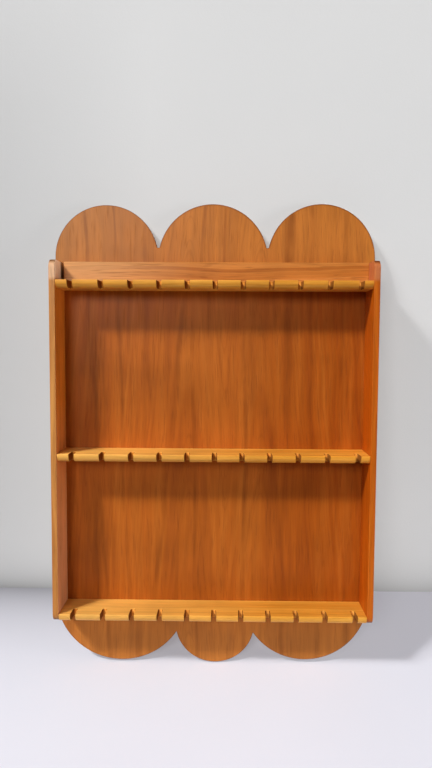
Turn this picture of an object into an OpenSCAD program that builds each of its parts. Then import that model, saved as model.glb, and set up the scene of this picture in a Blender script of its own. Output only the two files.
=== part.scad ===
// Wall rack for souvenir spoons: a lobed back panel that carries a shallow frame with three notched shelves.
// Millimetres. +Z is up and the front faces -Y. The wall touches the plane y = 0.
// The origin lies on the wall, midway between the two hangers, at the level where the wall nails catch.

/* [Back panel] */
// Width of the back panel
panel_w = 306; // [296:1:325]
// Thickness of the back panel
panel_t = 4.8; // [4.2:0.1:8]
// Radius of the left crest lobe; the three lobes are cut by hand and differ a little
crest_left_r = 49.4; // [46:0.1:54]
// Radius of the right crest lobe; the middle one takes up the width that is left
crest_right_r = 51.1; // [46:0.1:54]
// Rise of the left crest lobe above the header rail
crest_left_rise = 55.2; // [48:0.1:62]
// Rise of the middle crest lobe above the header rail
crest_mid_rise = 56.3; // [48:0.1:62]
// Rise of the right crest lobe above the header rail
crest_right_rise = 56.7; // [48:0.1:62]
// Height of the corners between the crest lobes above the header rail
crest_corner_h = 15.3; // [12:0.1:24]
// Radius of the left foot lobe
foot_left_r = 65.5; // [60:0.5:72]
// How much of the left foot lobe's circle is cut off by the panel's side
foot_left_cut = 3.3; // [0:0.1:8]
// Drop of the left foot lobe below the bottom shelf
foot_left_drop = 54; // [44:0.1:58]
// Radius of the middle foot lobe
foot_mid_r = 39; // [36:0.5:44]
// How far the middle foot lobe sits to the right of the panel's middle
foot_mid_shift = 1.9; // [-3:0.1:3]
// Drop of the middle foot lobe below the bottom shelf
foot_mid_drop = 55.5; // [46:0.5:60]
// Radius of the right foot lobe
foot_right_r = 62.3; // [60:0.1:72]
// How much of the right foot lobe's circle is cut off by the panel's side
foot_right_cut = 0.5; // [0:0.1:8]
// Drop of the right foot lobe below the bottom shelf
foot_right_drop = 52.2; // [44:0.1:58]

/* [Side boards] */
// How far the side boards stand in from the panel's edges
side_inset = 3; // [0:0.5:6]
// Thickness of a side board
side_t = 5.5; // [4:0.5:9]
// Depth of a side board in front of the panel
side_d = 37; // [32:0.5:50]
// Radius of a side board's two front corners
side_corner_r = 8; // [2:0.5:12]
// Clear height between the bottom and middle shelves
lower_bay_h = 144.5; // [120:0.5:170]
// Clear height between the middle and top shelves
upper_bay_h = 152.5; // [120:0.5:170]

/* [Header rail] */
// Height of the header rail above the top shelf
header_h = 18.5; // [17:0.5:26]
// Depth of the header rail in front of the panel
header_d = 14; // [12:0.5:18]
// Gap between the header rail's left end and the left side board; its right end meets the right one
header_gap = 2.8; // [0.5:0.1:5]

/* [Shelves] */
// Thickness of a shelf
shelf_t = 7.5; // [6:0.5:10]
// How far a shelf's front edge stands back from the front of the side boards
shelf_setback = 0.5; // [0:0.5:3]
// Radius of a shelf's rounded lower front edge
shelf_nose_r = 6; // [2:0.5:8]
// Radius of the softened edges along the top of the shelves and the header rail
arris_r = 0.8; // [0.3:0.1:1.5]

/* [Spoon notches] */
// Notches in each shelf
notch_count = 11; // [5:2:11]
// Spacing of the notches in the middle of a shelf
notch_pitch = 25.4; // [22:0.1:25.6]
// How fast the hand-marked spacing opens towards the ends
notch_spread = 0.044; // [0:0.004:0.06]
// How far the row of notches sits to the right of the middle
notch_shift = 1.2; // [-2:0.1:2]
// Width of a notch at its mouth
notch_mouth_w = 4.8; // [3:0.1:5.5]
// Width of a notch at its round inner end
notch_end_w = 4.3; // [2.4:0.1:4.8]
// Depth of a notch from the shelf's front edge
notch_d = 14.5; // [10:0.5:16]

/* [Brads] */
// Diameter of a brad
brad_d = 1.2; // [1:0.1:1.6]
// Length of a brad
brad_l = 15; // [12:0.5:16]
// Diameter of a brad's head
brad_head_d = 2.2; // [1.8:0.1:2.8]
// Thickness of a brad's head
brad_head_t = 0.6; // [0.4:0.1:0.8]
// How far a head is punched below the surface
brad_set = 0.3; // [0.1:0.1:0.6]

/* [Hangers] */
// Distance from the panel's side to the middle of the hanger near it
hanger_inset = 53; // [43:0.5:73]
// Length of a hanger
hanger_w = 44; // [38:1:50]
// Height of a hanger above its teeth
hanger_h = 6.6; // [5.5:0.1:7]
// Thickness of a hanger's steel
hanger_t = 0.8; // [0.6:0.1:1]
// Length of the flat tab at each end of a hanger
hanger_tab_w = 9; // [8:0.5:10]
// Gap behind the toothed bar, where the wall nail's head goes
hanger_gap = 1.2; // [1:0.1:1.4]
// Depth of a tooth
tooth_h = 1.4; // [1:0.1:1.6]
// Spacing of the teeth
tooth_pitch = 2.4; // [2:0.1:3]
// Diameter of a hanger nail
nail_d = 1.6; // [1.4:0.1:1.8]
// Length of a hanger nail under its head
nail_l = 10; // [8:0.5:12]
// Diameter of a hanger nail's head
nail_head_d = 3.2; // [2.8:0.1:3.8]
// Thickness of a hanger nail's head
nail_head_t = 0.7; // [0.5:0.1:0.8]

/* [Hidden] */
$fn = 64;

// Room left round a brad or nail in its hole
fit = 0.05;
// Cutters run this far past the surface that they cut
past = 1;
// Room round a hanger in its recess
recess_room = 1;
// The recess reaches this far below the teeth, so that the wall nail's head can enter
recess_below = 8;
// A hanger's bar lies this far below the back of the panel
hanger_sunk = 0.3;
// Tooth gaps in each hanger
tooth_count = 9;

// Heights, counted from the level of the wall nails, which is half way up the header rail
top_z = -header_h / 2;
middle_z = top_z - shelf_t - upper_bay_h;
bottom_z = middle_z - shelf_t - lower_bay_h;
frame_top = header_h / 2;
frame_bottom = bottom_z - shelf_t;
shelf_heights = [top_z, middle_z, bottom_z];

// Widths and depths
side_x = panel_w / 2 - side_inset - side_t;
frame_front = -panel_t - side_d;
shelf_front = frame_front + shelf_setback;
shelf_nose = min(shelf_nose_r, shelf_t - arris_r - 0.2);
recess_d = hanger_t + hanger_gap + hanger_sunk;
recess_floor = -recess_d;
hanger_x = panel_w / 2 - hanger_inset;

// Lobes as [x of the middle, z of the middle, radius]. The crest's lobes span the panel's width between
// them, and the outer foot lobes end at its sides
crest_mid_r = panel_w / 2 - crest_left_r - crest_right_r;
crest_lobes = [
    [crest_left_r - panel_w / 2, frame_top + crest_left_rise - crest_left_r, crest_left_r],
    [crest_left_r - crest_right_r, frame_top + crest_mid_rise - crest_mid_r, crest_mid_r],
    [panel_w / 2 - crest_right_r, frame_top + crest_right_rise - crest_right_r, crest_right_r]
];
foot_lobes = [
    [foot_left_r - foot_left_cut - panel_w / 2, frame_bottom - foot_left_drop + foot_left_r, foot_left_r],
    [foot_mid_shift, frame_bottom - foot_mid_drop + foot_mid_r, foot_mid_r],
    [panel_w / 2 - foot_right_r + foot_right_cut, frame_bottom - foot_right_drop + foot_right_r, foot_right_r]
];
crest_corner_z = frame_top + crest_corner_h;
foot_low = frame_bottom - max(foot_left_drop, foot_mid_drop, foot_right_drop);

// Brads in a shelf's end stand in the unnotched back part of the shelf
solid_d = side_d - shelf_setback - notch_d;
end_brad_depths = [panel_t + solid_d / 4, panel_t + solid_d * 3 / 4];
bays = [[bottom_z, lower_bay_h], [middle_z, upper_bay_h]];
shelf_brad_xs = [-0.38, -0.13, 0.13, 0.38] * 2 * side_x;
header_brad_xs = [-0.6, -0.2, 0.2, 0.6] * hanger_x;

// Where an outer foot lobe's circle meets the panel's side
function side_end(lobe) = lobe[1] - sqrt(pow(lobe[2], 2) - pow(panel_w / 2 - abs(lobe[0]), 2));

function notch_x(i) =
    let (u = i - (notch_count - 1) / 2)
    notch_shift + u * (notch_pitch + notch_spread * u * u);

// Runs a profile drawn in Y and Z along X, centred
module along_x(length) {
    translate([-length / 2, 0, 0])
        rotate([90, 0, 90])
            linear_extrude(length)
                children();
}

// Runs an outline drawn in X and Z forwards from y = 0
module forwards(depth) {
    rotate([90, 0, 0])
        linear_extrude(depth)
            children();
}

// What a fillet takes off a corner at the origin, where the material lies towards +x and +y
module corner_cut(r) {
    difference() {
        translate([-past, -past])
            square(r + past);
        translate([r, r])
            circle(r);
    }
}

// A brad along +x whose head is punched below x = 0; room widens it into its hole
module brad(room = 0) {
    translate([brad_set, 0, 0])
        rotate([0, 90, 0]) {
            cylinder(h = brad_l + room, d = brad_d + 2 * room);
            cylinder(h = brad_head_t + room, d = brad_head_d + 2 * room);
        }
}

// A brad's hole, open at the surface
module brad_hole() {
    brad(fit);
    translate([-past, 0, 0])
        rotate([0, 90, 0])
            cylinder(h = brad_set + past + fit, d = brad_head_d + 2 * fit);
}

// Puts its child at each brad through one side board; side is -1 for left and 1 for right
module at_side_brads(side) {
    for (z = shelf_heights, depth = end_brad_depths)
        translate([side * (side_x + side_t), -depth, z - shelf_t / 2])
            rotate([0, 0, side > 0 ? 180 : 0])
                children();
}

// Puts its child at each brad through the back panel
module at_panel_brads() {
    for (side = [-1, 1], bay = bays, share = [0.25, 0.75])
        translate([side * (side_x + side_t / 2), 0, bay[0] + bay[1] * share])
            rotate([0, 0, -90])
                children();
    for (z = shelf_heights, x = shelf_brad_xs)
        translate([x, 0, z - shelf_t / 2])
            rotate([0, 0, -90])
                children();
    for (x = header_brad_xs)
        translate([x, 0, 0])
            rotate([0, 0, -90])
                children();
}

// A hanger nail that enters its tab along -y; room widens it into its hole
module nail(room = 0) {
    rotate([90, 0, 0])
        cylinder(h = nail_l + room, d = nail_d + 2 * room);
}

// Puts its child at each nail of one hanger, on the tab's outer face
module at_hanger_nails(side) {
    for (end = [-1, 1])
        translate([
            side * hanger_x + end * (hanger_w - hanger_tab_w) / 2,
            recess_floor + hanger_t,
            hanger_h / 2
        ])
            children();
}

module lobes(list) {
    for (lobe = list)
        translate([lobe[0], lobe[1]])
            circle(lobe[2], $fn = 96);
}

module panel_outline() {
    left = crest_lobes[0];
    right = crest_lobes[2];
    polygon([
        [-panel_w / 2, side_end(foot_lobes[0])],
        [panel_w / 2, side_end(foot_lobes[2])],
        [panel_w / 2, right[1]],
        [right[0], right[1]],
        [right[0], crest_corner_z],
        [left[0], crest_corner_z],
        [left[0], left[1]],
        [-panel_w / 2, left[1]]
    ]);
    lobes(crest_lobes);
    intersection() {
        translate([-panel_w / 2, foot_low])
            square([panel_w, middle_z - foot_low]);
        lobes(foot_lobes);
    }
}

module hanger_recess(side) {
    width = hanger_w + 2 * recess_room;
    height = hanger_h + recess_room + recess_below;
    translate([side * hanger_x - width / 2, recess_floor, -recess_below])
        cube([width, recess_d + past, height]);
}

module back_panel() {
    color("#a9602c")
        difference() {
            forwards(panel_t)
                panel_outline();
            at_panel_brads()
                brad_hole();
            for (side = [-1, 1]) {
                hanger_recess(side);
                at_hanger_nails(side)
                    nail(fit);
            }
        }
}

module side_profile() {
    height = frame_top - frame_bottom;
    difference() {
        translate([frame_front, frame_bottom])
            square([side_d, height]);
        translate([frame_front, frame_bottom])
            corner_cut(side_corner_r);
        translate([frame_front, frame_top])
            mirror([0, 1])
                corner_cut(side_corner_r);
    }
}

module side_board(side) {
    color("#b8702f")
        difference() {
            translate([side * (side_x + side_t / 2), 0, 0])
                along_x(side_t)
                    side_profile();
            at_side_brads(side)
                brad_hole();
            at_panel_brads()
                brad_hole();
        }
}

module left_side() {
    side_board(-1);
}

module right_side() {
    side_board(1);
}

module header_profile() {
    front = -panel_t - header_d;
    difference() {
        translate([front, top_z])
            square([header_d, header_h]);
        translate([front, frame_top])
            mirror([0, 1])
                corner_cut(arris_r);
    }
}

module header_rail() {
    color("#bf7535")
        difference() {
            translate([header_gap / 2, 0, 0])
                along_x(2 * side_x - header_gap)
                    header_profile();
            at_panel_brads()
                brad_hole();
            for (side = [-1, 1])
                at_hanger_nails(side)
                    nail(fit);
        }
}

module shelf_profile() {
    depth = -panel_t - shelf_front;
    difference() {
        translate([shelf_front, -shelf_t])
            square([depth, shelf_t]);
        translate([shelf_front, -shelf_t])
            corner_cut(shelf_nose);
        translate([shelf_front, 0])
            mirror([0, 1])
                corner_cut(arris_r);
    }
}

// One notch in plan, with its mouth on y = 0 and its round end towards +y
module notch_outline() {
    straight = notch_d - notch_end_w / 2;
    polygon([
        [-notch_mouth_w / 2, -past],
        [notch_mouth_w / 2, -past],
        [notch_mouth_w / 2, 0],
        [notch_end_w / 2, straight],
        [-notch_end_w / 2, straight],
        [-notch_mouth_w / 2, 0]
    ]);
    translate([0, straight])
        circle(d = notch_end_w);
}

module shelf(z) {
    color("#d08c45")
        difference() {
            translate([0, 0, z])
                along_x(2 * side_x)
                    shelf_profile();
            for (i = [0:notch_count - 1])
                translate([notch_x(i), shelf_front, z - shelf_t - past])
                    linear_extrude(shelf_t + 2 * past)
                        notch_outline();
            for (side = [-1, 1])
                at_side_brads(side)
                    brad_hole();
            at_panel_brads()
                brad_hole();
        }
}

module top_shelf() {
    shelf(top_z);
}

module middle_shelf() {
    shelf(middle_z);
}

module bottom_shelf() {
    shelf(bottom_z);
}

module side_brads() {
    color("silver")
        for (side = [-1, 1])
            at_side_brads(side)
                brad();
}

module panel_brads() {
    color("silver")
        at_panel_brads()
            brad();
}

// The toothed bar in outline: a strip whose lower edge has a row of pointed gaps
module toothed_bar(length) {
    difference() {
        translate([-length / 2, -tooth_h])
            square([length, hanger_h + tooth_h]);
        for (i = [0:tooth_count - 1])
            translate([(i - (tooth_count - 1) / 2) * tooth_pitch, 0])
                polygon([[-tooth_pitch / 2, -tooth_h - past], [tooth_pitch / 2, -tooth_h - past],
                    [tooth_pitch / 2, -tooth_h], [0, 0], [-tooth_pitch / 2, -tooth_h]]);
    }
}

// One hanger: two tabs on the recess floor, with the toothed bar bent up between them
module hanger(side) {
    bar_w = hanger_w - 2 * hanger_tab_w;
    color("#b9b9b4")
        difference() {
            translate([side * hanger_x, recess_floor, 0]) {
                for (end = [-1, 1]) {
                    translate([end * (hanger_w - hanger_tab_w) / 2 - hanger_tab_w / 2, 0, 0])
                        cube([hanger_tab_w, hanger_t, hanger_h]);
                    translate([end * (bar_w + hanger_t) / 2 - hanger_t / 2, 0, 0])
                        cube([hanger_t, hanger_gap + hanger_t, hanger_h]);
                }
                translate([0, hanger_gap + hanger_t, 0])
                    forwards(hanger_t)
                        toothed_bar(bar_w + hanger_t);
            }
            at_hanger_nails(side)
                nail(fit);
        }
}

module left_hanger() {
    hanger(-1);
}

module right_hanger() {
    hanger(1);
}

module hanger_nails() {
    color("silver")
        for (side = [-1, 1])
            at_hanger_nails(side) {
                nail();
                rotate([-90, 0, 0])
                    cylinder(h = nail_head_t, d = nail_head_d);
            }
}

back_panel();
left_side();
right_side();
header_rail();
top_shelf();
middle_shelf();
bottom_shelf();
side_brads();
panel_brads();
left_hanger();
right_hanger();
hanger_nails();
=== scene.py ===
# A wall rack for souvenir spoons: a veneered back panel with a lobed top and foot, two side boards,
# a header rail and three notched shelves. Metres. +Z is up, the front faces -Y, the wall plane is y = 0.
import math

import bmesh
import bpy
from mathutils import Matrix, Vector


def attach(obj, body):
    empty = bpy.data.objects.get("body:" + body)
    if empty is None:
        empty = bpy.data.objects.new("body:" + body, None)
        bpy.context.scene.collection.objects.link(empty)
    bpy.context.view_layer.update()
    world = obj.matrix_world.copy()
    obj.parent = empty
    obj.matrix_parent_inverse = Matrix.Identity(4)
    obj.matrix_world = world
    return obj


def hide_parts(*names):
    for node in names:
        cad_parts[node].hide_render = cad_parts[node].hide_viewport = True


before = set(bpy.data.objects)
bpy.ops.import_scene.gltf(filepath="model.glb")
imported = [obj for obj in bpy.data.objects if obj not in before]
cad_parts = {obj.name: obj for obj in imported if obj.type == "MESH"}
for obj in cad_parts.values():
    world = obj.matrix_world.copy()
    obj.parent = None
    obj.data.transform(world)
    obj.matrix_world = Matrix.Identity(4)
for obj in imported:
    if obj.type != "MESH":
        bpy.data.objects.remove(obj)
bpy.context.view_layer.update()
mm = 0.001


# Back panel
# A thin sheet of plywood with teak-coloured veneer on its front, sawn to three lobes at the top and
# three at the foot, sanded and varnished. Its back is a plainer veneer that was only sealed.
def feed(tree, socket, value):
    """Gives a node's socket a plain value, or the output of another node."""
    if isinstance(value, bpy.types.NodeSocket):
        tree.links.new(value, socket)
    else:
        socket.default_value = value


def maths(tree, operation, first, second=0.0, third=0.0):
    step = tree.nodes.new("ShaderNodeMath")
    step.operation = operation
    for socket, value in zip(step.inputs, (first, second, third)):
        feed(tree, socket, value)
    return step.outputs[0]


def clamped(tree, value):
    return maths(tree, "MINIMUM", maths(tree, "MAXIMUM", value, 0.0), 1.0)


def ramp(tree, value, start, end):
    """0 at start and 1 at end, straight between them."""
    span = end - start
    return clamped(tree, maths(tree, "MULTIPLY_ADD", value, 1 / span, -start / span))


def between(tree, share, low, high):
    """low where the share is 0, and high where it is 1."""
    return maths(tree, "MULTIPLY_ADD", share, high - low, low)


def vectors(tree, operation, first, second):
    step = tree.nodes.new("ShaderNodeVectorMath")
    step.operation = operation
    feed(tree, step.inputs[0], first)
    feed(tree, step.inputs[1], second)
    return step.outputs[0]


def scaled(tree, place, scale, shift=(0, 0, 0)):
    """The place counted in lumps: scale is how many lumps a metre takes along each axis."""
    step = tree.nodes.new("ShaderNodeMapping")
    feed(tree, step.inputs["Vector"], place)
    step.inputs["Scale"].default_value = scale
    step.inputs["Location"].default_value = shift
    return step.outputs[0]


def drawn_out(along, across, lengthwise):
    """Lumps per metre for fibres or scratches that run along one axis."""
    scale = [across] * 3
    scale["XYZ".index(along)] = lengthwise
    return scale


def split(tree, place):
    step = tree.nodes.new("ShaderNodeSeparateXYZ")
    feed(tree, step.inputs[0], place)
    return step.outputs


def cloudy(tree, place, detail=3.0, roughness=0.5):
    """Smooth random values, as a number and as a colour, one lump per unit of place."""
    step = tree.nodes.new("ShaderNodeTexNoise")
    feed(tree, step.inputs["Vector"], place)
    step.inputs["Scale"].default_value = 1.0
    step.inputs["Detail"].default_value = detail
    step.inputs["Roughness"].default_value = roughness
    return step.outputs


def layered(tree, depth, detail=2.0, roughness=0.55):
    """Random layers along one direction, such as the yearly rings across a board."""
    step = tree.nodes.new("ShaderNodeTexNoise")
    step.noise_dimensions = "1D"
    feed(tree, step.inputs["W"], depth)
    step.inputs["Scale"].default_value = 1.0
    step.inputs["Detail"].default_value = detail
    step.inputs["Roughness"].default_value = roughness
    return step.outputs[0]


def shades(tree, value, stops):
    """A scale of colours, or of greys, that is read at value."""
    step = tree.nodes.new("ShaderNodeValToRGB")
    feed(tree, step.inputs[0], value)
    scale = step.color_ramp
    while len(scale.elements) < len(stops):
        scale.elements.new(0.5)
    for element, (position, shade) in zip(scale.elements, stops):
        element.position = position
        grey = isinstance(shade, (int, float))
        element.color = (shade, shade, shade, 1) if grey else (*shade, 1)
    return step.outputs[0]


def laid_over(tree, share, below, above, how="MIX"):
    """One colour over another. A Mix node's colours are its inputs 6 and 7 and its output 2."""
    step = tree.nodes.new("ShaderNodeMix")
    step.data_type = "RGBA"
    step.blend_type = how
    feed(tree, step.inputs[0], share)
    feed(tree, step.inputs[6], below if isinstance(below, bpy.types.NodeSocket) else (*below, 1))
    feed(tree, step.inputs[7], above if isinstance(above, bpy.types.NodeSocket) else (*above, 1))
    return step.outputs[2]


def relief(tree, height, depth, strength=1.0, under=None):
    step = tree.nodes.new("ShaderNodeBump")
    feed(tree, step.inputs["Height"], height)
    step.inputs["Distance"].default_value = depth
    step.inputs["Strength"].default_value = strength
    if under is not None:
        tree.links.new(under, step.inputs["Normal"])
    return step.outputs[0]


def toned(colour, factor):
    """The colour made darker by a factor below 1, or paler by one above it."""
    return tuple(factor * part for part in colour)


def varnish(tree, shader, place, fine, pore, blotch, gloss, sheen):
    """Brushed varnish, duller in the pores. It follows the fibres and swells a little in between."""
    patchiness = 0.08
    dull_pores = 0.2
    rough = between(tree, blotch, gloss - patchiness, gloss + patchiness)
    rough = maths(tree, "MULTIPLY_ADD", pore, dull_pores, rough)
    tree.links.new(rough, shader.inputs["Roughness"])
    shader.inputs["Specular IOR Level"].default_value = 0.11
    shader.inputs["Coat Weight"].default_value = sheen
    shader.inputs["Coat Roughness"].default_value = gloss * 0.75
    fibre_depth = 0.1 * mm
    pore_depth = 0.06 * mm
    swell_depth = 0.6 * mm
    surface = relief(tree, fine, fibre_depth)
    unpitted = maths(tree, "SUBTRACT", 1.0, pore)
    surface = relief(tree, unpitted, pore_depth, strength=0.6, under=surface)
    swell = cloudy(tree, scaled(tree, place, (60, 60, 60)), detail=1.0)[0]
    surface = relief(tree, swell, swell_depth, strength=0.4, under=surface)
    tree.links.new(surface, shader.inputs["Normal"])


def wood(
    name, along, rings, colours, marks=None, paler_share=None, paler_colour=None,
    fibre=0.14, pores=0.22, gloss=0.4, sheen=0.10, worn=0.0, seed=0.0,
):
    """A varnished wood. along is the grain's axis, and rings(tree, place) returns how deep in the
    tree's rings a point lies. colours go from the darkest late wood to the palest early wood.
    marks(tree, place) returns where dark streaks lie, and on the panel bands of painted shade too.
    paler_share(tree, place) returns how far the wood takes paler_colour, mostly painted light and
    painted sheen, and worn is how far the edges are rubbed bare. fibre and pores are how strongly those
    show, gloss is the varnish's roughness, sheen is its weight, and each seed gives another board."""
    material = bpy.data.materials.new(name)
    material.use_nodes = True
    tree = material.node_tree
    shader = tree.nodes["Principled BSDF"]
    place = tree.nodes.new("ShaderNodeTexCoord").outputs["Object"]
    waver = 10 * mm
    slow = cloudy(tree, scaled(tree, place, (9, 9, 9), (seed, 2 * seed, 0)), detail=1.0)[1]
    sway = vectors(tree, "SUBTRACT", slow, (0.5, 0.5, 0.5))
    bent = vectors(tree, "ADD", place, vectors(tree, "MULTIPLY", sway, (waver, waver, waver)))

    def fibres(across, lengthwise):
        return scaled(tree, bent, drawn_out(along, across, lengthwise), (seed, seed, seed))

    # Yearly rings, fibres and pores
    dark, middle, pale = colours
    depth = rings(tree, bent)
    ring = layered(tree, depth)
    fine = cloudy(tree, fibres(across=420, lengthwise=9), detail=4.0, roughness=0.6)[0]
    broad = cloudy(tree, fibres(across=70, lengthwise=2.5), detail=2.0)[0]
    figure = maths(tree, "MULTIPLY_ADD", ring, 0.4, maths(tree, "MULTIPLY", broad, 0.6))
    fuzz = maths(tree, "MULTIPLY", maths(tree, "SUBTRACT", fine, 0.5), fibre)
    figure = maths(tree, "ADD", figure, fuzz)
    colour = shades(tree, figure, [(0.30, dark), (0.48, middle), (0.68, pale)])
    # A paler colour is laid over where the caller asks: mostly painted light and painted sheen.
    if paler_share:
        colour = laid_over(tree, paler_share(tree, place), colour, paler_colour)
    late = layered(tree, maths(tree, "MULTIPLY_ADD", depth, 1.9, seed), detail=1.0)
    line = shades(tree, late, [(0.56, 0.0), (0.60, 0.16), (0.64, 0.0)])
    # The marks are streaks in the wood and, on the panel, also bands of painted shade.
    if marks:
        line = maths(tree, "MAXIMUM", line, marks(tree, bent))
    colour = laid_over(tree, line, colour, toned(dark, 0.5))
    dash = cloudy(tree, fibres(across=900, lengthwise=40), detail=1.0)[0]
    pore = shades(tree, dash, [(0.58, 0.0), (0.70, 1.0)])
    colour = laid_over(tree, maths(tree, "MULTIPLY", pore, pores), colour, toned(dark, 0.4))

    # Light and dark strands, stains, end grain and wear
    strand = cloudy(tree, fibres(across=230, lengthwise=8), detail=3.0, roughness=0.6)[0]
    shade = shades(tree, strand, [(0.32, 0.90), (0.5, 1.0), (0.68, 1.09)])
    colour = laid_over(tree, 1.0, colour, shade, "MULTIPLY")
    blotch = cloudy(tree, scaled(tree, place, (16, 16, 16), (seed, 0, seed)), detail=3.0)[0]
    shade = shades(tree, blotch, [(0.3, 0.85), (0.5, 1.0), (0.72, 1.09)])
    colour = laid_over(tree, 1.0, colour, shade, "MULTIPLY")
    facing = tree.nodes.new("ShaderNodeTexCoord").outputs["Normal"]
    lengthwise = split(tree, facing)["XYZ".index(along)]
    end_grain = shades(tree, maths(tree, "ABSOLUTE", lengthwise), [(0.5, 0.0), (0.85, 0.9)])
    colour = laid_over(tree, end_grain, colour, toned(dark, 0.4))
    if worn:
        patches = scaled(tree, place, (160, 160, 160), (0, seed, 0))
        rubbed = cloudy(tree, patches, detail=4.0, roughness=0.65)[0]
        bare = shades(tree, rubbed, [(0.66 - worn * 0.3, 0.0), (0.80 - worn * 0.3, 0.8)])
        bare_colour = tuple(min(1.0, 1.25 * part + 0.03) for part in pale)
        colour = laid_over(tree, bare, colour, bare_colour)
    tree.links.new(colour, shader.inputs["Base Color"])
    varnish(tree, shader, place, fine, pore, blotch, gloss, sheen)
    return material


def object_of(name, points, faces):
    """A mesh object whose faces all look outwards."""
    mesh = bpy.data.meshes.new(name)
    mesh.from_pydata(points, [], faces)
    shape = bmesh.new()
    shape.from_mesh(mesh)
    bmesh.ops.recalc_face_normals(shape, faces=shape.faces)
    shape.to_mesh(mesh)
    shape.free()
    piece = bpy.data.objects.new(name, mesh)
    bpy.context.scene.collection.objects.link(piece)
    return piece


def prisms(outlines, low, high, stand):
    """Points and faces of closed prisms: each outline's (u, v) goes from low to high, and
    stand(u, v, w) says where a point is."""
    points = []
    faces = []
    for outline in outlines:
        first = len(points)
        count = len(outline)
        points += [stand(u, v, low) for u, v in outline]
        points += [stand(u, v, high) for u, v in outline]
        faces.append(list(range(first, first + count)))
        faces.append(list(range(first + count, first + 2 * count)))
        for i in range(count):
            j = (i + 1) % count
            faces.append([first + i, first + j, first + count + j, first + count + i])
    return points, faces


def facing_front(u, v, w):
    """For an outline seen from the front: u is x, v is z and w is y."""
    return (u, w, v)


def facing_sideways(u, v, w):
    """For an outline seen from the side: u is y, v is z and w is x."""
    return (w, u, v)


def facing_up(u, v, w):
    """For an outline seen from above: u is x, v is y and w is z."""
    return (u, v, w)


def cut(piece, tool):
    """Takes the tool's solids out of the piece for good."""
    step = piece.modifiers.new("cut", "BOOLEAN")
    step.operation = "DIFFERENCE"
    step.solver = "EXACT"
    step.object = tool
    bpy.context.view_layer.update()
    result = piece.evaluated_get(bpy.context.evaluated_depsgraph_get())
    mesh = bpy.data.meshes.new_from_object(result)
    piece.modifiers.clear()
    piece.data = mesh
    bpy.data.objects.remove(tool)


def sanded(piece, radius, edge_material=None):
    """Takes the sharpness off every edge with sandpaper. The faces stay flat and shade smoothly."""
    for face in piece.data.polygons:
        face.use_smooth = True
    ease = piece.modifiers.new("sanded", "BEVEL")
    ease.width = radius
    ease.segments = 3
    ease.limit_method = "ANGLE"
    ease.angle_limit = math.radians(32)
    ease.miter_outer = "MITER_ARC"
    if edge_material is not None:
        ease.material = edge_material
    flat = piece.modifiers.new("flat_faces", "WEIGHTED_NORMAL")
    flat.keep_sharp = True


def finished(piece, node):
    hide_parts(node)
    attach(piece, "root")


def arc(centre, radius, start, end, step=1.5):
    """Points on an arc, in degrees, from start to end."""
    count = max(2, round(abs(end - start) / step))
    turn = [math.radians(start + (end - start) * i / count) for i in range(count + 1)]
    return [(centre[0] + radius * math.cos(a), centre[1] + radius * math.sin(a)) for a in turn]


panel_w = 306 * mm
panel_t = 4.8 * mm
header_h = 18.5 * mm
shelf_t = 7.5 * mm
upper_bay_h = 152.5 * mm
lower_bay_h = 144.5 * mm
top_z = -header_h / 2
middle_z = top_z - shelf_t - upper_bay_h
bottom_z = middle_z - shelf_t - lower_bay_h
frame_top = header_h / 2
frame_bottom = bottom_z - shelf_t


def lobe(x, radius, reach, side):
    """A lobe's middle and radius, from its x, its radius and how far it reaches beyond the frame, all
    in mm. side is 1 for the crest and -1 for the foot."""
    edge = frame_top if side > 0 else frame_bottom
    return Vector((x * mm, edge + side * (reach - radius) * mm)), radius * mm


crest_lobes = [lobe(-103.6, 49.4, 55.2, 1), lobe(-1.7, 52.5, 56.3, 1), lobe(101.9, 51.1, 56.7, 1)]
foot_lobes = [lobe(-90.8, 65.5, 54.0, -1), lobe(1.9, 39.0, 55.5, -1), lobe(91.2, 62.3, 52.2, -1)]
crest_corner_z = frame_top + 15.3 * mm


def heading(circle, point):
    """The direction, in degrees, in which a point on a lobe's circle lies from its middle."""
    away = point - circle[0]
    return math.degrees(math.atan2(away.y, away.x))


def on_lobe(circle, side, x=None, z=None):
    """The point of a lobe's circle at a given x or z; side picks one of the two."""
    middle, radius = circle
    if x is not None:
        return Vector((x, middle.y + side * math.sqrt(radius**2 - (x - middle.x) ** 2)))
    return Vector((middle.x + side * math.sqrt(radius**2 - (z - middle.y) ** 2), z))


def lower_meeting(first, second):
    """Where two lobes that stand side by side cross, at the lower of the two crossings."""
    gap = second[0] - first[0]
    reach = (first[1] ** 2 - second[1] ** 2 + gap.length_squared) / (2 * gap.length)
    drop = math.sqrt(first[1] ** 2 - reach**2)
    way = gap.normalized()
    return first[0] + reach * way + drop * Vector((way.y, -way.x))


def panel_outline():
    """Round the crest from left to right, then round the foot from right to left."""
    outline = []
    for i, crest in enumerate(crest_lobes):
        start = 180 if i == 0 else heading(crest, on_lobe(crest, -1, z=crest_corner_z))
        end = 0 if i == 2 else heading(crest, on_lobe(crest, 1, z=crest_corner_z))
        outline += arc(crest[0], crest[1], start, end)
    left, mid, right = foot_lobes
    ends = [
        on_lobe(right, -1, x=panel_w / 2),
        lower_meeting(mid, right),
        lower_meeting(left, mid),
        on_lobe(left, -1, x=-panel_w / 2),
    ]
    for i, foot in enumerate((right, mid, left)):
        end = heading(foot, ends[i + 1])
        drawn = arc(foot[0], foot[1], heading(foot, ends[i]), end - 360 if end > 0 else end)
        outline += drawn[1:] if i else drawn
    return outline


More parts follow.
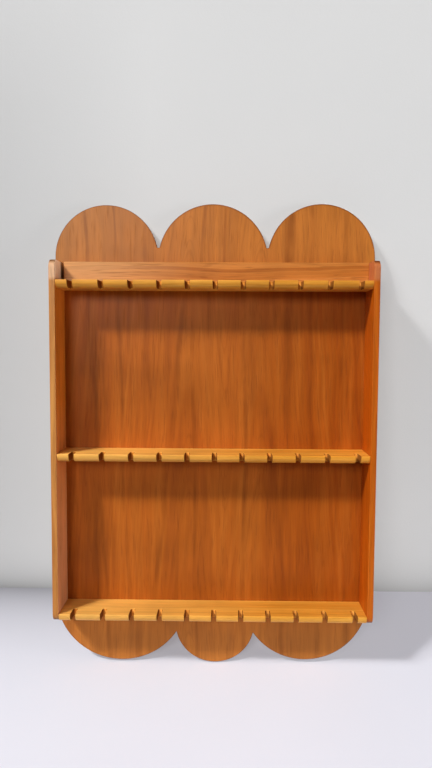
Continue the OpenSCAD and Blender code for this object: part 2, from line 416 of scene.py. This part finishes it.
def panel_rings(tree, place):
    """The veneer was sliced flat from the log, so its rings stand as tall pointed arches."""
    heart_xs = (-24 * mm, 45 * mm)
    tip_r = 10 * mm
    blend = 10 * mm
    slant = 0.096
    rings_per_metre = 150
    x, _, z = split(tree, place)
    arches = []
    for heart_x in heart_xs:
        aside = maths(tree, "SUBTRACT", x, heart_x)
        spread = maths(tree, "MULTIPLY_ADD", aside, aside, tip_r**2)
        arches.append(maths(tree, "SQRT", spread))
    nearest = maths(tree, "SMOOTH_MIN", arches[0], arches[1], blend)
    depth = maths(tree, "MULTIPLY_ADD", z, slant, nearest)
    return maths(tree, "MULTIPLY", depth, rings_per_metre)


def streak(tree, x, z, at, width, slope, darkness, top=None, low=None):
    """One dark streak or band of painted shade up the veneer, at a given x where z is 0. width is half
    its width, slope is how far it leans, and it fades out above top and below low. Lengths are in mm."""
    fade = 25 * mm
    line = maths(tree, "MULTIPLY_ADD", z, -slope, maths(tree, "SUBTRACT", x, at * mm))
    near = maths(tree, "DIVIDE", maths(tree, "ABSOLUTE", line), width * mm)
    mark = maths(tree, "SUBTRACT", 1.0, maths(tree, "MULTIPLY", near, near))
    mark = maths(tree, "MULTIPLY", maths(tree, "MAXIMUM", mark, 0.0), darkness)
    for end, sign in ((top, 1), (low, -1)):
        if end is not None:
            gone = maths(tree, "MULTIPLY", maths(tree, "SUBTRACT", z, end * mm), sign / fade)
            mark = maths(tree, "MULTIPLY", mark, maths(tree, "SUBTRACT", 1.0, clamped(tree, gone)))
    return mark


def crest_rim(tree):
    """A thin line just inside the crest's edge is darker."""
    darkest_within = 0.4 * mm
    clear = 1.9 * mm
    x, _, z = split(tree, tree.nodes.new("ShaderNodeTexCoord").outputs["Object"])
    rim = 0.0
    for middle, radius in crest_lobes:
        aside = maths(tree, "SUBTRACT", x, middle.x)
        above = maths(tree, "SUBTRACT", z, middle.y)
        squares = maths(tree, "MULTIPLY_ADD", above, above, maths(tree, "MULTIPLY", aside, aside))
        inward = maths(tree, "SUBTRACT", maths(tree, "SQRT", squares), radius)
        rim = maths(tree, "MAXIMUM", rim, ramp(tree, maths(tree, "ABSOLUTE", inward), clear, darkest_within))
    return maths(tree, "MULTIPLY", rim, ramp(tree, z, crest_corner_z - mm, crest_corner_z + mm))


def panel_streaks_and_shade(tree, place):
    """The dark streaks that stand out in the veneer, a few wide bands of painted shade among them,
    the darker line along the crest and the darkening that belongs to the left crest lobe's painted
    sheen. The streaks and bands are ragged, broken and darker on the crest.
    """
    x, _, z = split(tree, place)
    raggedness = 4 * mm
    ragged = cloudy(tree, scaled(tree, place, drawn_out("Z", 420, 22)), detail=2.0)[0]
    x = maths(tree, "MULTIPLY_ADD", maths(tree, "SUBTRACT", ragged, 0.5), raggedness, x)
    total = 0.0
    # Each row is one streak's or shade band's at, width, slope and darkness, and its top and low
    # where it has them
    for row in (
        (-121.7, 3.0, -0.05, 0.36),
        (-93.8, 2.6, -0.035, 0.34, None, -330),
        (-65.5, 2.6, -0.02, 0.36, None, -120),
        (-74.0, 4.2, 0.0, 0.36, -325),
        (-25.5, 3.2, 0.10, 0.42, -5, -330),
        (-21.5, 2.5, -0.015, 0.42, -60),
        (-13.0, 2.6, 0.05, 0.28, None, 10),
        (-4.6, 2.5, 0.0, 0.38, -10, -40),
        (10.0, 2.0, 0.0, 0.28, None, -30),
        (29.5, 3.0, 0.0, 0.44, -10),
        (35.0, 10.0, 0.0, 0.36, -30, -120),
        (71.0, 6.6, 0.0, 0.46, None, -130),
        (57.0, 6.0, 0.0, 0.40, -160, -185),
        (67.0, 3.2, 0.0, 0.36, -210),
        (92.5, 2.8, 0.0, 0.27, None, -190),
        (104.0, 4.0, 0.0, 0.20, -200),
        (124.0, 2.8, 0.02, 0.30, None, -90),
        (137.0, 4.5, 0.0, 0.30, -10, -70),
        (132.0, 4.8, 0.0, 0.26, -200),
        # Painted shade in the lower left of the upper bay, beside the left board
        (-138.0, 30.0, 0.0, 0.22, -125, -160),
        # Painted shade on the panel just above the bottom shelf, darkest towards its right
        (132.0, 50.0, 0.0, 0.38, -312, -314),
        # The panel is also a little darker along most of the bottom shelf
        (40.0, 200.0, 0.0, 0.14, -314, -314),
        # Painted shadow on the left end of the left foot lobe
        (-150.0, 27.0, 0.0, 0.42, -335),
    ):
        total = maths(tree, "MAXIMUM", total, streak(tree, x, z, *row))
    broken = cloudy(tree, scaled(tree, place, drawn_out("Z", 60, 24)), detail=2.0)[0]
    total = maths(tree, "MULTIPLY", total, shades(tree, broken, [(0.34, 0.35), (0.62, 1.0)]))
    crest = ramp(tree, z, top_z, frame_top)
    total = maths(tree, "MULTIPLY", total, between(tree, crest, 1.0, 1.6))
    total = maths(tree, "MAXIMUM", total, maths(tree, "MULTIPLY", crest_rim(tree), 0.5))
    # Painted sheen: together with the paler colour laid over the left crest lobe, this darkening turns
    # the lobe greyer and less red.
    left_lobe_sheen_grey = streak(tree, x, z, at=-112.0, width=64.0, slope=0.0, darkness=0.26, low=10)
    return maths(tree, "MAXIMUM", total, left_lobe_sheen_grey)


def panel_pale_and_sheen(tree, place):
    """The crest and the foot, outside the frame, are the yellowest. The left half is a little paler and
    the left crest lobe palest of all, as painted sheen, so the right side is the reddest.
    """
    x, _, z = split(tree, place)
    # Painted sheen on the left half, and on the left crest lobe more than on the rest of the crest
    aside = maths(tree, "MULTIPLY", ramp(tree, x, 100 * mm, 20 * mm), 0.12)
    left_lobe = between(tree, ramp(tree, x, -50 * mm, -110 * mm), 0.44, 0.64)
    crest = maths(tree, "MULTIPLY", ramp(tree, z, top_z, frame_top), left_lobe)
    foot = maths(tree, "MULTIPLY", ramp(tree, z, bottom_z, frame_bottom), 0.52)
    return maths(tree, "MAXIMUM", aside, maths(tree, "MAXIMUM", crest, foot))


veneer_colours = ((0.295, 0.058, 0.004), (0.372, 0.081, 0.005), (0.437, 0.111, 0.010))
back_colours = ((0.20, 0.09, 0.035), (0.33, 0.17, 0.075), (0.42, 0.24, 0.12))
# The veneer carries painted shade among its streaks, and painted sheen on its left and most of all on
# the left crest lobe.
veneer = wood(
    "panel_veneer",
    "Z",
    panel_rings,
    veneer_colours,
    marks=panel_streaks_and_shade,
    paler_share=panel_pale_and_sheen,
    paler_colour=(0.54, 0.22, 0.043),
    seed=3.1,
)
veneer_back = wood(
    "panel_back_veneer",
    "Z",
    panel_rings,
    back_colours,
    gloss=0.7,
    sheen=0.0,
    seed=8.0,
)


def plywood_edge(name):
    """Three plies seen on edge, stained with the face: a thick core between two thin veneers."""
    material = bpy.data.materials.new(name)
    material.use_nodes = True
    tree = material.node_tree
    shader = tree.nodes["Principled BSDF"]
    place = tree.nodes.new("ShaderNodeTexCoord").outputs["Object"]
    depth = maths(tree, "DIVIDE", split(tree, place)[1], -panel_t)
    face_ply = (0.15, 0.04, 0.008)
    core = (0.27, 0.12, 0.04)
    glue = (0.05, 0.018, 0.006)
    back_plies = [(0.0, face_ply), (0.13, face_ply), (0.15, glue), (0.18, core)]
    front_plies = [(0.82, core), (0.85, glue), (0.87, face_ply)]
    plies = shades(tree, depth, back_plies + front_plies)
    strands = cloudy(tree, scaled(tree, place, drawn_out("Y", 260, 2600)), detail=3.0, roughness=0.6)[0]
    shade = shades(tree, strands, [(0.3, 0.6), (0.55, 1.0), (0.7, 1.25)])
    tree.links.new(laid_over(tree, 1.0, plies, shade, "MULTIPLY"), shader.inputs["Base Color"])
    rough = maths(tree, "MULTIPLY_ADD", strands, 0.3, 0.45)
    tree.links.new(rough, shader.inputs["Roughness"])
    shader.inputs["Specular IOR Level"].default_value = 0.3
    tree.links.new(relief(tree, strands, 0.25 * mm), shader.inputs["Normal"])
    return material


hanger_x = 100 * mm
hanger_w = 44 * mm
hanger_h = 6.6 * mm
recess_d = 2.3 * mm
recess_room = 1 * mm
recess_below = 8 * mm
brad_hole_r = 1.15 * mm
brad_hole_d = 0.95 * mm
board_brad_shares = (0.25, 0.75)
shelf_brad_shares = (-0.38, -0.13, 0.13, 0.38)
header_brad_shares = (-0.6, -0.2, 0.2, 0.6)
side_x = 144.5 * mm
side_t = 5.5 * mm
shelf_heights = (top_z, middle_z, bottom_z)


def brad_hole(centre):
    """The outline of the shallow hole over a brad."""
    return arc(centre, brad_hole_r, 0, 330, 30)


back_panel = object_of("panel_board", *prisms([panel_outline()], -panel_t, 0.0, facing_front))
recesses = []
for side in (-1, 1):
    left = side * hanger_x - hanger_w / 2 - recess_room
    right = side * hanger_x + hanger_w / 2 + recess_room
    top = hanger_h + recess_room
    recesses.append([(left, -recess_below), (right, -recess_below), (right, top), (left, top)])
brad_places = []
for side in (-1, 1):
    for base, height in ((bottom_z, lower_bay_h), (middle_z, upper_bay_h)):
        for share in board_brad_shares:
            brad_places.append((side * (side_x + side_t / 2), base + height * share))
for z in shelf_heights:
    for share in shelf_brad_shares:
        brad_places.append((share * 2 * side_x, z - shelf_t / 2))
for share in header_brad_shares:
    brad_places.append((share * hanger_x, 0.0))
holes = [brad_hole(place) for place in brad_places]
cut(back_panel, object_of("recess_cutter", *prisms(recesses, -recess_d, mm, facing_front)))
cut(back_panel, object_of("hole_cutter", *prisms(holes, -brad_hole_d, mm, facing_front)))
for layer in (veneer, veneer_back, plywood_edge("panel_edge")):
    back_panel.data.materials.append(layer)
for face in back_panel.data.polygons:
    on_front = face.normal.y < -0.9 and face.center.y < -panel_t + 0.1 * mm
    on_back = face.normal.y > 0.9 and face.center.y > -0.1 * mm
    face.material_index = 0 if on_front else 1 if on_back else 2
sanded(back_panel, 0.45 * mm, 2)
finished(back_panel, "back_panel")


# Side boards
# Two straight-grained boards, a little darker than the shelves, with their front corners rounded at
# both ends. Brads go through them into the shelves' ends and from behind through the panel.
def ring_curve(centre, width):
    """Rings of a solid board whose log was centred at centre; the axis along the grain holds None."""

    def rings(tree, place):
        total = 0.0
        for value, middle in zip(split(tree, place), centre):
            if middle is not None:
                away = maths(tree, "SUBTRACT", value, middle)
                total = maths(tree, "MULTIPLY_ADD", away, away, total)
        return maths(tree, "DIVIDE", maths(tree, "SQRT", total), width)

    return rings


side_d = 37 * mm
side_corner_r = 8 * mm
frame_front = -panel_t - side_d
side_outline = [(-panel_t, frame_bottom), (-panel_t, frame_top)]
corner_y = frame_front + side_corner_r
side_outline += arc((corner_y, frame_top - side_corner_r), side_corner_r, 90, 180, 6)
side_outline += arc((corner_y, frame_bottom + side_corner_r), side_corner_r, 180, 270, 6)
left_colours = ((0.36, 0.128, 0.026), (0.47, 0.18, 0.040), (0.56, 0.245, 0.062))
right_colours = ((0.33, 0.064, 0.002), (0.47, 0.10, 0.004), (0.55, 0.14, 0.010))
# The inner faces are the same wood, with colours of their own that are more saturated, the left one
# brighter and the right one darker: painted light for how light falls and bounces inside the rack.
left_inner_lit_colours = ((0.41, 0.103, 0.007), (0.55, 0.148, 0.014), (0.63, 0.19, 0.024))
right_inner_lit_colours = ((0.32, 0.048, 0.001), (0.43, 0.078, 0.0015), (0.50, 0.11, 0.003))
shelf_solid_d = 22 * mm


def side_painted_light(tree, place):
    """Painted light on the boards: the left board is painted paler above the top shelf, least on its
    outer face, and its inner face also a little towards the foot. The right one is a trace paler above
    the top shelf."""
    x, _, z = split(tree, place)
    on_left = ramp(tree, x, 10 * mm, -10 * mm)
    inside = ramp(tree, x, -side_x - 0.2 * mm, -side_x - 0.1 * mm)
    from_middle = maths(tree, "ABSOLUTE", x)
    outside = ramp(tree, from_middle, side_x + side_t - 0.9 * mm, side_x + side_t - 0.1 * mm)
    upper = ramp(tree, z, top_z - 1 * mm, top_z + 2 * mm)
    upper = maths(tree, "MULTIPLY", upper, between(tree, inside, 0.36, 1.0))
    upper = maths(tree, "MULTIPLY", upper, between(tree, on_left, 0.09, 1.0))
    upper = maths(tree, "MULTIPLY", upper, between(tree, outside, 1.0, 0.15))
    lower = maths(tree, "MULTIPLY", ramp(tree, z, -120 * mm, -330 * mm), 0.25)
    lower = maths(tree, "MULTIPLY", lower, maths(tree, "MULTIPLY", inside, on_left))
    return maths(tree, "MAXIMUM", upper, lower)


for side, node, side_colours, inner_lit_colours in (
    (-1, "left_side", left_colours, left_inner_lit_colours),
    (1, "right_side", right_colours, right_inner_lit_colours),
):
    outer = side * (side_x + side_t)
    low, high = sorted((side * side_x, outer))
    board = object_of(f"{node}_board", *prisms([side_outline], low, high, facing_sideways))
    holes = []
    for z in shelf_heights:
        for share in board_brad_shares:
            holes.append(brad_hole((-panel_t - shelf_solid_d * share, z - shelf_t / 2)))
    low, high = sorted((outer - side * brad_hole_d, outer + side * mm))
    cut(board, object_of("hole_cutter", *prisms(holes, low, high, facing_sideways)))
    rings = ring_curve((side * 210 * mm, 50 * mm, None), 2.1 * mm)
    seed = 5.0 + side
    for part, colours, rubbed, gleam in (
        ("wood", side_colours, 0.0, 0.16),
        ("worn_edge", side_colours, 0.12, 0.16),
        ("inner_face", inner_lit_colours, 0.0, 0.2),
    ):
        # Each material lays painted light over the board: paler above the top shelf, and on the left
        # inner face towards the foot.
        board.data.materials.append(
            wood(
                f"{node}_{part}",
                "Z",
                rings,
                colours,
                paler_share=side_painted_light,
                paler_colour=(0.97, 0.71, 0.50),
                worn=rubbed,
                sheen=gleam,
                seed=seed,
            )
        )
    for face in board.data.polygons:
        if face.normal.x * side < -0.9:
            face.material_index = 2
    sanded(board, 0.6 * mm, 1)
    finished(board, node)


# Header rail
# A planed rail on the top shelf, against the panel. It stops a little short of the left side board and
# meets the right one. Its upper front edge is rounded over.
header_d = 14 * mm
header_gap = 2.8 * mm
header_front = -panel_t - header_d
arris_r = 0.8 * mm
header_outline = [(-panel_t, frame_top), (-panel_t, top_z), (header_front, top_z)]
header_outline += arc((header_front + arris_r, frame_top - arris_r), arris_r, 180, 90, 15)
header_left = header_gap - side_x
header = object_of("header_board", *prisms([header_outline], header_left, side_x, facing_sideways))
header_rings = ring_curve((None, 30 * mm, -70 * mm), 2.6 * mm)
header_colours = ((0.32, 0.085, 0.012), (0.48, 0.16, 0.026), (0.58, 0.22, 0.05))


def header_painted_sheen(tree, place):
    """The left end of the rail is painted paler, as painted sheen."""
    return maths(tree, "MULTIPLY", ramp(tree, split(tree, place)[0], -20 * mm, -110 * mm), 0.5)


for part, rubbed in (("wood", 0.0), ("worn_edge", 0.2)):
    # The rail's wood lays a painted sheen over its left end.
    header.data.materials.append(
        wood(
            f"header_rail_{part}",
            "X",
            header_rings,
            header_colours,
            paler_share=header_painted_sheen,
            paler_colour=(0.69, 0.38, 0.15),
            fibre=0.26,
            pores=0.34,
            worn=rubbed,
            seed=1.7,
        )
    )
sanded(header, 0.4 * mm, 1)
finished(header, "header_rail")


# Shelves
# Three boards of a paler, yellower wood. The lower front edge is rounded over, and eleven notches for
# the spoons, slightly wider apart towards the ends, are sawn into the front of all three at once, so
# that they stand in line.
shelf_front = frame_front + 0.5 * mm
shelf_nose_r = 6 * mm
notch_d = 14.5 * mm
notch_mouth_w = 4.8 * mm
notch_end_w = 4.3 * mm
notches_beside = 5
notch_row_x = 1.2 * mm
notch_pitch = 25.4 * mm
notch_stretch = 0.044 * mm
notch_counts = range(-notches_beside, notches_beside + 1)
notch_xs = [notch_row_x + n * (notch_pitch + notch_stretch * n * n) for n in notch_counts]
shelf_colours = ((0.56, 0.19, 0.011), (0.74, 0.30, 0.033), (0.84, 0.40, 0.058))
# The notch walls are sawn, unvarnished wood; their colour is raised about to the shelves' own, so that
# the shade inside the notches reads lighter: painted light.
notch_lightened_colours = ((0.56, 0.18, 0.022), (0.80, 0.29, 0.042), (0.93, 0.41, 0.075))


def shelf_painted_light(tree, place):
    """Painted light: the left half of each shelf is the palest, least of all on the top one."""
    x, _, z = split(tree, place)
    left_half = maths(tree, "MULTIPLY", ramp(tree, x, 60 * mm, -110 * mm), 0.40)
    return maths(tree, "MULTIPLY", left_half, ramp(tree, z, 20 * mm, -150 * mm))


def shelf_profile(z):
    profile = [(-panel_t, z - shelf_t), (-panel_t, z)]
    profile += arc((shelf_front + arris_r, z - arris_r), arris_r, 90, 180, 15)
    nose = (shelf_front + shelf_nose_r, z - shelf_t + shelf_nose_r)
    profile += arc(nose, shelf_nose_r, 180, 270, 7.5)
    return profile


def notch_outline(x):
    straight = shelf_front + notch_d - notch_end_w / 2
    outline = [(x + notch_mouth_w / 2, shelf_front - mm), (x + notch_mouth_w / 2, shelf_front)]
    outline += arc((x, straight), notch_end_w / 2, 0, 180, 12)
    outline += [(x - notch_mouth_w / 2, shelf_front), (x - notch_mouth_w / 2, shelf_front - mm)]
    return outline


for node, z, tone in (
    ("top_shelf", top_z, 0.95),
    ("middle_shelf", middle_z, 1.07),
    ("bottom_shelf", bottom_z, 0.96),
):
    own_colours = [toned(colour, tone) for colour in shelf_colours]
    shelf = object_of(f"{node}_board", *prisms([shelf_profile(z)], -side_x, side_x, facing_sideways))
    notches = [notch_outline(x) for x in notch_xs]
    cut(shelf, object_of("notch_cutter", *prisms(notches, z - shelf_t - mm, z + mm, facing_up)))
    rings = ring_curve((None, 70 * mm, z - 50 * mm), 2.4 * mm)
    for part, rubbed in (("wood", 0.0), ("worn_edge", 0.3)):
        # The shelves' wood lays painted light over their left halves.
        shelf.data.materials.append(
            wood(
                f"{node}_{part}",
                "X",
                rings,
                own_colours,
                paler_share=shelf_painted_light,
                paler_colour=(0.97, 0.60, 0.17),
                pores=0.1,
                worn=rubbed,
                seed=20 * z,
            )
        )
    sawn = wood(f"{node}_sawn_notch", "X", rings, notch_lightened_colours, gloss=0.8, sheen=0.0)
    shelf.data.materials.append(sawn)
    for face in shelf.data.polygons:
        x, y, _ = face.center
        if abs(face.normal.z) < 0.5 and shelf_front + mm < y < -panel_t - mm and abs(x) < side_x - mm:
            face.material_index = 2
    sanded(shelf, 0.35 * mm, 1)
    finished(shelf, node)


# Hangers, nails and brads
# Two toothed hangers of zinc-plated strip steel in recesses in the panel's back, the nails that hold
# them, and the plain steel brads that hold the boards together.
def steel(name, colour, rough, along):
    """Plain or plated steel with fine rolling marks along one axis and a little tarnish."""
    material = bpy.data.materials.new(name)
    material.use_nodes = True
    tree = material.node_tree
    shader = tree.nodes["Principled BSDF"]
    place = tree.nodes.new("ShaderNodeTexCoord").outputs["Object"]
    tarnish_colour = (0.22, 0.17, 0.13)
    marks = cloudy(tree, scaled(tree, place, drawn_out(along, 6000, 300)), detail=3.0)[0]
    tarnish = cloudy(tree, scaled(tree, place, (400, 400, 400)), detail=4.0, roughness=0.6)[0]
    dull = shades(tree, tarnish, [(0.4, 0.0), (0.7, 0.7)])
    tree.links.new(laid_over(tree, dull, colour, tarnish_colour), shader.inputs["Base Color"])
    tree.links.new(maths(tree, "MULTIPLY_ADD", tarnish, 0.35, rough), shader.inputs["Roughness"])
    shader.inputs["Metallic"].default_value = 1.0
    tree.links.new(relief(tree, marks, 0.04 * mm), shader.inputs["Normal"])
    return material


hanger_steel = steel("hanger_zinc", colour=(0.62, 0.62, 0.60), rough=0.25, along="X")
brad_steel = steel("brad_steel", colour=(0.42, 0.40, 0.37), rough=0.3, along="Z")
for node, metal in (
    ("left_hanger", hanger_steel),
    ("right_hanger", hanger_steel),
    ("hanger_nails", brad_steel),
    ("side_brads", brad_steel),
    ("panel_brads", brad_steel),
):
    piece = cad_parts[node]
    if not piece.material_slots:
        piece.data.materials.append(metal)
    for held in piece.material_slots:
        held.material = metal


# Floor and backdrop
# The rack stands on a white floor and leans back on a pale backdrop, touching it with its crest. Both
# are seen from their front side only, so they don't hide the rack from behind or below.
lean = math.radians(14.5)
foot_z = min(middle.y - radius for middle, radius in foot_lobes)
crest_top = max(middle.y + radius for middle, radius in crest_lobes)
up = Vector((0.0, -math.sin(lean), math.cos(lean)))
back = Vector((0.0, math.cos(lean), math.sin(lean)))
corner = Vector((0.0, 0.0, foot_z)) + back * (crest_top - foot_z) * math.sin(lean)


def crease_shade(tree, place, away, dark, fade, lit, left):
    """How bright the paint is at each place, with painted shade in it. It is darker close to the crease,
    by dark, which fades over a length along away, and is gone between the two x values in lit where they
    are given. It is darker at the far left too, by left, and a little cloudy all over."""
    x, _, z = split(tree, place)
    run = tree.nodes.new("ShaderNodeVectorMath")
    run.operation = "DOT_PRODUCT"
    tree.links.new(vectors(tree, "SUBTRACT", place, corner), run.inputs[0])
    run.inputs[1].default_value = away
    ahead = maths(tree, "MAXIMUM", run.outputs["Value"], 0.0)
    near = maths(tree, "POWER", math.e, maths(tree, "MULTIPLY", ahead, -1.0 / fade))
    if lit:
        near = maths(tree, "MULTIPLY", near, maths(tree, "SUBTRACT", 1.0, ramp(tree, x, *lit)))
    level = maths(tree, "SUBTRACT", 1.0, maths(tree, "MULTIPLY", near, dark))
    if left:
        aside = ramp(tree, x, -60 * mm, -260 * mm)
        beside = maths(tree, "MULTIPLY", aside, ramp(tree, z, 450 * mm, 150 * mm))
        level = maths(tree, "SUBTRACT", level, maths(tree, "MULTIPLY", beside, left))
    soft = cloudy(tree, scaled(tree, place, (5, 5, 5)), detail=3.0)[0]
    return maths(tree, "MULTIPLY", level, shades(tree, soft, [(0.3, 0.975), (0.7, 1.0)]))


def one_sided(name, colour, glow, share, away, dark, fade, lit=None, left=0.0):
    """Pale paint that is seen from its front only. share of what the camera sees of it is glow, which
    evens out its shadows. The other values are crease_shade's."""
    material = bpy.data.materials.new(name)
    material.use_nodes = True
    tree = material.node_tree
    shader = tree.nodes["Principled BSDF"]
    place = tree.nodes.new("ShaderNodeTexCoord").outputs["Object"]
    level = crease_shade(tree, place, away, dark, fade, lit, left)
    tree.links.new(laid_over(tree, 1.0, colour, level, "MULTIPLY"), shader.inputs["Base Color"])
    shader.inputs["Roughness"].default_value = 0.8
    shader.inputs["Specular IOR Level"].default_value = 0.2
    grit = cloudy(tree, scaled(tree, place, (700, 700, 700)), detail=3.0)[0]
    tree.links.new(relief(tree, grit, 0.2 * mm, strength=0.5), shader.inputs["Normal"])
    light = tree.nodes.new("ShaderNodeEmission")
    tree.links.new(laid_over(tree, 1.0, glow, level, "MULTIPLY"), light.inputs["Color"])
    rays = tree.nodes.new("ShaderNodeLightPath").outputs
    mirrored = maths(tree, "MAXIMUM", rays["Is Glossy Ray"], rays["Is Transmission Ray"])
    seen = maths(tree, "MAXIMUM", rays["Is Camera Ray"], mirrored)
    paint = tree.nodes.new("ShaderNodeMixShader")
    feed(tree, paint.inputs[0], maths(tree, "MULTIPLY", seen, share))
    tree.links.new(shader.outputs[0], paint.inputs[1])
    tree.links.new(light.outputs[0], paint.inputs[2])
    behind = tree.nodes.new("ShaderNodeNewGeometry").outputs["Backfacing"]
    join = tree.nodes.new("ShaderNodeMixShader")
    feed(tree, join.inputs[0], maths(tree, "MULTIPLY", behind, rays["Is Camera Ray"]))
    tree.links.new(paint.outputs[0], join.inputs[1])
    tree.links.new(tree.nodes.new("ShaderNodeBsdfTransparent").outputs[0], join.inputs[2])
    tree.links.new(join.outputs[0], tree.nodes["Material Output"].inputs["Surface"])
    return material


def stage_plane(name, along, low, high, spans, material):
    """Rectangles in the plane that along and the X axis span; each span is from one x to another."""
    points = []
    faces = []
    for left, right in spans:
        faces.append(range(len(points), len(points) + 4))
        for x, run in ((left, low), (right, low), (right, high), (left, high)):
            points.append(corner + Vector((x, 0.0, 0.0)) + along * run)
    mesh = bpy.data.meshes.new(name)
    mesh.from_pydata(points, [], faces)
    mesh.materials.append(material)
    plane = bpy.data.objects.new(name, mesh)
    bpy.context.scene.collection.objects.link(plane)
    return plane


stage_reach = 3.0
floor_behind = 2.0
floor_white = one_sided(
    "floor_white",
    colour=(0.87, 0.865, 0.94),
    glow=(0.645, 0.64, 0.71),
    share=0.433,
    away=-back,
    dark=0.62,
    fade=56 * mm,
    lit=(-120 * mm, 100 * mm),
)
backdrop_paint = one_sided(
    "backdrop_paint",
    colour=(0.742, 0.742, 0.742),
    glow=(0.722, 0.722, 0.722),
    share=0.46,
    away=up,
    dark=0.36,
    fade=18 * mm,
    left=0.22,
)

# Only the floor right in front of the rack throws light back up at it
near_d = 360 * mm
near_x = 400 * mm
near_span = (-near_x, near_x)
side_spans = [(-stage_reach, -near_x), (near_x, stage_reach)]
stage_plane("floor_near", back, -near_d, floor_behind, [near_span], floor_white)
floor_far = stage_plane("floor_far", back, -stage_reach, -near_d, [near_span], floor_white)
floor_sides = stage_plane("floor_sides", back, -stage_reach, floor_behind, side_spans, floor_white)
backdrop = stage_plane("backdrop", up, 0.0, stage_reach, [(-stage_reach, stage_reach)], backdrop_paint)
for plane in (floor_far, floor_sides, backdrop):
    plane.visible_diffuse = False
backdrop.visible_glossy = False
backdrop.visible_transmission = False
backdrop.visible_shadow = False


# Lamps
# Two lamps high at the front left cast the shelves' shadows, two more fill the front, and one behind
# lights the back alone. A dim even room light reaches every side.
rack_middle = Vector((0.0, -20 * mm, -150 * mm))


def lamp(name, direction, distance, size, power):
    """A square lamp that looks at the rack's middle from a direction and a distance."""
    light = bpy.data.lights.new(name, "AREA")
    light.shape = "SQUARE"
    light.size = size
    light.energy = power
    holder = bpy.data.objects.new(name, light)
    bpy.context.scene.collection.objects.link(holder)
    way = Vector(direction).normalized()
    holder.location = rack_middle + way * distance
    holder.rotation_mode = "QUATERNION"
    holder.rotation_quaternion = way.to_track_quat("Z", "Y")
    holder.visible_camera = False
    return holder


# The first is small and bright, and the second doubles the edges of its shadows
lamp("key_lamp", (-1.0, -1.0, 1.24), distance=3.0, size=0.24, power=62)
lamp("second_lamp", (-1.3, -1.0, 1.42), distance=3.0, size=0.3, power=34)

# A wider one almost in front gives the varnish its sheen and fills the shadows, all but a dark band
# right under each shelf, and a weak one far to the right lights the left board
lamp("front_lamp", (-0.27, -1.0, 0.33), distance=2.5, size=0.6, power=20)
lamp("right_lamp", (1.0, -0.27, 0.0), distance=1.3, size=0.5, power=7)

# The one behind lights only the panel and the steel on its back, so that nothing else gets brighter
back_lamp = lamp("back_lamp", (0.4, 1.0, 0.8), distance=2.0, size=0.6, power=34)
lit_from_behind = bpy.data.collections.new("lit_from_behind")
lit_from_behind.objects.link(back_panel)
for node in ("left_hanger", "right_hanger", "hanger_nails", "panel_brads"):
    lit_from_behind.objects.link(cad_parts[node])
back_lamp.light_linking.receiver_collection = lit_from_behind

world = bpy.data.worlds.new("room")
world.use_nodes = True
room_light = world.node_tree.nodes["Background"]
room_light.inputs["Color"].default_value = (1.0, 0.985, 0.97, 1)
room_light.inputs["Strength"].default_value = 0.055
bpy.context.scene.world = world


# Camera
# It looks slightly down at the rack from a little to the right of its middle, through a lens that
# takes in about 62 degrees from top to bottom.
camera = bpy.data.objects.new("camera", bpy.data.cameras.new("camera"))
bpy.context.scene.collection.objects.link(camera)
camera.data.lens = 30.0
camera.data.sensor_width = 36.0
camera.data.clip_start = 0.01
camera.location = (0.00929, -0.62427, -0.06344)
look = Vector((-0.01199, 0.99758, -0.06853)).normalized()
above = Vector((-0.00610, 0.06846, 0.99764))
rightwards = look.cross(above).normalized()
above = rightwards.cross(look)
camera.rotation_mode = "QUATERNION"
camera.rotation_quaternion = Matrix((rightwards, above, -look)).transposed().to_quaternion()
bpy.context.scene.camera = camera
bpy.context.scene.view_settings.view_transform = "Standard"
